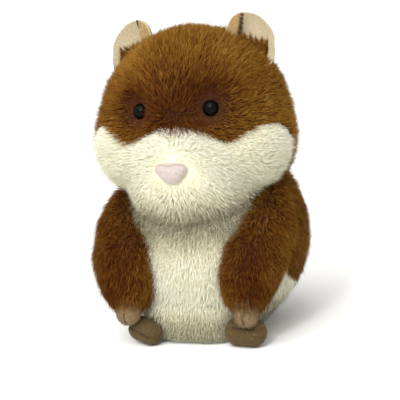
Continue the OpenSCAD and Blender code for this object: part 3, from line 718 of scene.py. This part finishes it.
# Feet by side: the groove's height and slope, the middle that sees the whole foot, and the ends of
# the sewn line as x0, x1, z0 and z1. The two feet are turned differently.
FOOT_GROOVE = {-1: (7.6, (0.35, 0, 1)), 1: (10.2, (0.0, 0, 1))}
FOOT_MIDDLE = {-1: (-26, -37.7, 7.3), 1: (27.9, -37.7, 7.3)}
FOOT_LINE = {-1: (-34, -19, 10.0, 5.2), 1: (22, 35, 10.4, 10.0)}


def foot_fn(p, side):
    height, across = FOOT_GROOVE[side]
    groove = ridge(p, (side * 27, -40, height), across, 0.9, 0.9) * np.clip((-p[:, 1] - 34) / 6, 0, 1)
    return np.maximum(capsules(p, mirrored(FEET[side], side), 2.0) + groove, 0.4 - p[:, 2])


def paw_tone(p, n):
    return 0.5 + 0.15 * noise3(p, 3, 4)


for side, label in ((-1, "left"), (1, "right")):
    brushed, arm_at, hand_at, foot_at = (partial(fn, side=side) for fn in (arm_comb, arm_fn, hand_fn, foot_fn))
    arm_body = f"{label}_arm"
    # The shoulder's skin stays with the body, and from there on it turns with the arm.
    shoulder = blending()
    verts, tris = star(arm_at, (side * 35, -27, 46), 5, 60)
    soft_piece(f"arm_{label}_backing", verts, tris, [BROWN_SKIN], shoulder,
               [f"arm_{label}", f"arm_fill_{label}"])
    pile(shoulder, "brown_plush", f"arm_{label}_fur", verts, tris, brushed, 3.0, 6.6, 0.24, arm_tone_and_painted_sheen,
         BROWN, SEEDS["arm"] + side, lean=0.85, keep=arm_shown)

    verts, tris = star(hand_at, (side * 31.0, -41.5, 20.6), 5, 30)
    soft_piece(f"hand_{label}_velour", verts, tris, [PAW], riding(arm_body), [f"hand_{label}"])
    pile(riding(arm_body), "tan_velour", f"hand_{label}_pile", verts, tris, down_comb, 2.6, 1.7, 0.22, paw_tone,
         PAW_PILE, SEEDS["hand"] + side, lean=0.8)

    verts, tris = star(foot_at, FOOT_MIDDLE[side], 5, 30)
    soft_piece(f"foot_{label}_velour", verts, tris, [VELOUR], riding("body"), [f"foot_{label}"])
    # Short sewn lines over the toes and down the fingers.
    x0, x1, z0, z1 = FOOT_LINE[side]
    line = [(x0 + (x1 - x0) * t, -39, z0 + (z1 - z0) * t) for t in np.linspace(0.06, 0.94, 24)]
    thread(f"foot_{label}_seam", laid_on(foot_at, line, 0.25), 0.7, [STITCH_AND_CREASE_SHADOW], "body")
    line = [(side * 31.0, -42, z) for z in np.linspace(12.8, 18.5, 12)]
    thread(f"hand_{label}_seam", laid_on(hand_at, line, 0.1), 0.5, [STITCH_AND_CREASE_SHADOW], arm_body)

# ---------- nose ----------

PINK = textured("pink_velour", (0.38, 0.325, 0.305), (0.50, 0.435, 0.41), 1400, 5, 0.8, 0.5, 2600, 0.5,
                (1, 0.9, 0.85), (0.44, 0.38, 0.355), specular=0.15)
ROSE = textured("nose_thread", (0.36, 0.26, 0.20), (0.50, 0.38, 0.30), 3000, 3, 0.8, 0.4, 6000)


def nose_fn(p):
    """Rounded heart: one lobe below and two above."""
    d = ellipsoid(p, (0, -46.2, 87.5), (6.0, 2.9, 5.0))
    for s in (-1, 1):
        d = smooth_min(d, ellipsoid(p, (s * 4.4, -46.0, 89.4), (3.8, 2.8, 2.9)), 1.6)
    return d


verts, tris = star(nose_fn, (0, -46.0, 88.4), 5, 20)
soft_piece("nose_velour", verts, tris, [PINK], riding("head"), ["nose"])
line = [(x, -46, 91.7 - 0.35 * math.cos(x / 8.4 * math.pi * 1.5) - 0.03 * x * x / 2)
        for x in np.linspace(-7.2, 7.2, 28)]
thread("nose_seam", laid_on(nose_fn, line, 0.1), 0.5, [ROSE], "head")

# ---------- ears ----------

EAR = textured("ear_velour", (0.38, 0.31, 0.19), (0.54, 0.46, 0.31), 1500, 5, 0.85, 0.6, 2600, 0.35, (0.9, 0.8, 0.6),
               (0.46, 0.385, 0.25), 0.00025)
EAR_FLAP = textured("ear_flap", (0.22, 0.135, 0.05), (0.36, 0.245, 0.105), 1500, 5, 0.85, 0.6, 2600, 0.2,
                    (0.8, 0.7, 0.5))
EAR_CUP = textured("ear_cup", (0.07, 0.028, 0.005), (0.17, 0.085, 0.02), 900, 6, 0.9, 0.6, 2600)
EAR_PILE = shades("ear_fibre", ((0.24, 0.17, 0.085), (0.44, 0.35, 0.21), (0.62, 0.53, 0.38)), 4, 0.8)
# Outline of the ear as circles (u, v, radius) blended in a ring
EAR_OUTLINE = ((1.5, -5, 11.7), (1.6, 0.4, 11.5), (0.4, 4.0, 10.0), (-1.3, 6.4, 8.0), (-5.5, -4, 8.2),
               (1.5, -5, 11.7))
# Places in the ear's list of materials
RIM, CUP, CREASE_SHADOW, FLAP = 0, 1, 2, 3


def ear_at(u, v, w, side):
    """From the ear's own frame (out, up, forward) to the toy."""
    lean, turn = math.radians(78), math.radians(6)
    x, y, z = u, v * math.cos(lean) - w * math.sin(lean), v * math.sin(lean) + w * math.cos(lean)
    x, y = x * math.cos(turn) - y * math.sin(turn), x * math.sin(turn) + y * math.cos(turn)
    return np.stack([side * (x + 30), y - 7, z + 145], 1)


def crease_u(v):
    """The fold's edge, straight up the ear."""
    return -2.3 - 0.205 * (13.5 - v)


def low_fur(u, v):
    """Ragged line inside the ear, below which the cup is furred."""
    return 2.2 - 0.3 * u + 1.3 * math.sin(2.1 * u + 0.7) + 0.9 * math.sin(4.7 * u)


def ear_depth(u, v, rim):
    """How far forward the velour lies: a cup, and the inner edge folded over it."""
    cup = -4.2 * (1 - rim ** 2.4) - 1.4 * np.exp(-((u - crease_u(v)) / 2.2) ** 2) * (1 - rim ** 4)
    flap = 2.9 - 0.10 * np.clip(crease_u(v) - u, 0, 20) ** 1.3
    t = np.clip((crease_u(v) - u) / 0.9 + 0.5, 0, 1)
    t = t * t * (3 - 2 * t)
    return cup * (1 - t) + flap * t * np.clip((16 - v) / 3, 0.2, 1)


def face_kind(u, v, rim, side):
    """Material for one face on the front of the ear, from its middle."""
    past_crease = crease_u(v) - u
    # The dark line is painted shadow of the fold, a wider strip on the left ear, which shows more of it.
    if (-0.35 if side > 0 else -2.4) < past_crease < 0.25 and v > -9:
        return CREASE_SHADOW
    if rim < 0.74 and past_crease < 0 and v < low_fur(u, v):
        return CUP
    return FLAP if past_crease > 0 and rim < 0.97 else RIM


def ear_mesh(side):
    """Front and back of the ear as rings round its middle, closed at the rim."""
    turns, steps = 96, 26
    q = np.linspace(0, 2 * math.pi, turns, endpoint=False)
    ray = np.stack([np.cos(q), np.sin(q), 0 * q], 1)
    outline = [(a, b, 0, r) for a, b, r in EAR_OUTLINE]
    reach, _ = edge_along(lambda t: capsules(ray * t[:, None], outline, 0.5) < 0, np.zeros(turns),
                          np.full(turns, 40.0), 26)
    u, v, rim = [np.zeros(1)], [np.zeros(1)], [np.zeros(1)]
    for k in range(1, steps + 1):
        u.append(ray[:, 0] * reach * k / steps)
        v.append(ray[:, 1] * reach * k / steps)
        rim.append(np.full(turns, k / steps))
    u, v, rim = np.concatenate(u), np.concatenate(v), np.concatenate(rim)
    depth = ear_depth(u, v, rim)
    front = ear_at(u, v, depth, side)
    back = ear_at(u, v, np.minimum(depth, 1.0) - 1.2 - 1.2 * (1 - rim ** 6), side)
    n = len(u)
    tris, kind = [], []
    for k in range(steps):
        for i in range(turns):
            j = (i + 1) % turns
            if k == 0:
                wedge = [(0, 1 + i, 1 + j)]
            else:
                a, b = 1 + (k - 1) * turns, 1 + k * turns
                wedge = [(a + i, b + i, b + j), (a + i, b + j, a + j)]
            for f in wedge:
                tris += [f, tuple(n + x for x in f[::-1])]
                f = list(f)
                kind += [face_kind(u[f].mean(), v[f].mean(), rim[f].mean(), side), RIM]
    last = 1 + (steps - 1) * turns
    for i in range(turns):
        j = (i + 1) % turns
        tris += [(last + i, n + last + i, n + last + j), (last + i, n + last + j, last + j)]
        kind += [RIM, RIM]
    tris = np.array(tris)
    return np.concatenate([front, back]), tris[:, ::-1] if side < 0 else tris, np.array(kind)


def up_comb(p, n, side):
    return np.tile(np.array([0.35 * side, -0.2, 1.0]), (len(p), 1))


def cup_tone(p, n):
    return 0.42 + 0.12 * noise3(p, 4, 4)


def ear_tone(p, n):
    return 0.55 + 0.15 * noise3(p, 4, 5)


for side, label in ((-1, "left"), (1, "right")):
    verts, tris, kind = ear_mesh(side)
    upward = partial(up_comb, side=side)
    # The ear's third material, the thread colour, paints the shadow in the fold.
    soft_piece(f"ear_{label}_velour", verts, tris, [EAR, EAR_CUP, STITCH_AND_CREASE_SHADOW, EAR_FLAP], riding("head"),
               [f"ear_{label}"], index=kind)
    pile(riding("head"), "brown_plush", f"ear_{label}_fur", verts, tris[kind == CUP], upward, 4.2, 4.6, 0.24,
         cup_tone, BROWN, SEEDS["ear_fur"] + side, lean=0.95,
         trim=lambda p: np.clip((158 - p[:, 2]) / 16, 0.3, 1))
    pile(riding("head"), "tan_velour", f"ear_{label}_pile", verts, tris[(kind == RIM) | (kind == FLAP)], upward,
         2.2, 1.3, 0.22, ear_tone, EAR_PILE, SEEDS["ear_pile"] + side, lean=0.8,
         keep=lambda p: head_fn(p) > -1)

# ---------- plastics, metals, leads and eyes ----------

# CAD nodes that the soft pieces above stand for keep what they have.
dressed = {"crown_panel", "head_stuffing", "muzzle_panel", "cheek_left", "cheek_right", "belly_panel",
           "body_padding", "base_hem", "back_panel", "neck_gusset", "arm_left", "arm_right", "arm_fill_left",
           "arm_fill_right", "hand_left", "hand_right", "foot_left", "foot_right", "nose", "ear_left",
           "ear_right"}


def finish_of(words, dark, light, scale, **more):
    """Mottled material for every node left whose name holds one of the words."""
    made = textured(words[0] + "_finish", dark, light, scale, **more)
    for name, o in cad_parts.items():
        if any(w in name for w in words) and name not in dressed:
            o.data.materials.clear()
            o.data.materials.append(made)
            for poly in o.data.polygons:
                poly.material_index = 0
            dressed.add(name)


finish_of(("eye_left", "eye_right"), (0.002, 0.0018, 0.0016), (0.005, 0.0045, 0.004), 260, detail=3,
          roughness=0.05, rough_span=0.015, specular=0.06)
finish_of(("switch", "chips", "microphone"), (0.022, 0.022, 0.024), (0.045, 0.045, 0.048), 700, roughness=0.5,
          bump=0.3, bump_scale=2500, bump_distance=0.0001)
for word, tone in (("power_leads", (0.55, 0.04, 0.03)), ("motor_leads", (0.36, 0.36, 0.38)),
                   ("speaker_leads", (0.75, 0.60, 0.08)), ("microphone_leads", (0.86, 0.86, 0.86))):
    dressed.discard(word)
    finish_of((word,), tuple(c * 0.82 for c in tone), tone, 900, roughness=0.45, rough_span=0.08)
finish_of(("gearbox_frame", "gearbox_cover"), (0.42, 0.43, 0.44), (0.50, 0.51, 0.52), 500, roughness=0.45,
          bump=0.2, bump_scale=2500, bump_distance=0.0001, rough_span=0.06)
finish_of(("pinion",), (0.62, 0.42, 0.13), (0.80, 0.58, 0.22), 900, roughness=0.3, metallic=1.0,
          rough_span=0.08, stretch=(1, 6, 1))
finish_of(("gear_shafts", "screw", "springs", "contacts", "neck_pin", "drive_motor", "basket"),
          (0.46, 0.47, 0.48), (0.64, 0.65, 0.66), 800, roughness=0.32, metallic=1.0, bump=0.15,
          bump_scale=2400, bump_distance=0.00005, rough_span=0.08, stretch=(1, 1, 7))
finish_of(("gear",), (0.78, 0.76, 0.66), (0.88, 0.86, 0.78), 600, roughness=0.42, rough_span=0.07)
finish_of(("cells",), (0.045, 0.052, 0.062), (0.075, 0.085, 0.10), 500, roughness=0.3, metallic=0.5,
          rough_span=0.08)
finish_of(("board",), (0.025, 0.16, 0.06), (0.04, 0.24, 0.09), 900, roughness=0.4, bump=0.3, bump_scale=2000)
finish_of(("cone",), (0.03, 0.03, 0.034), (0.055, 0.055, 0.06), 1400, roughness=0.75, bump=0.5,
          bump_scale=3600)
# The empty word matches every node that is left: the pale plastic parts.
finish_of(("",), (0.70, 0.69, 0.67), (0.80, 0.79, 0.77), 420, roughness=0.42, bump=0.25, bump_scale=3000,
          bump_distance=0.00006, rough_span=0.06)
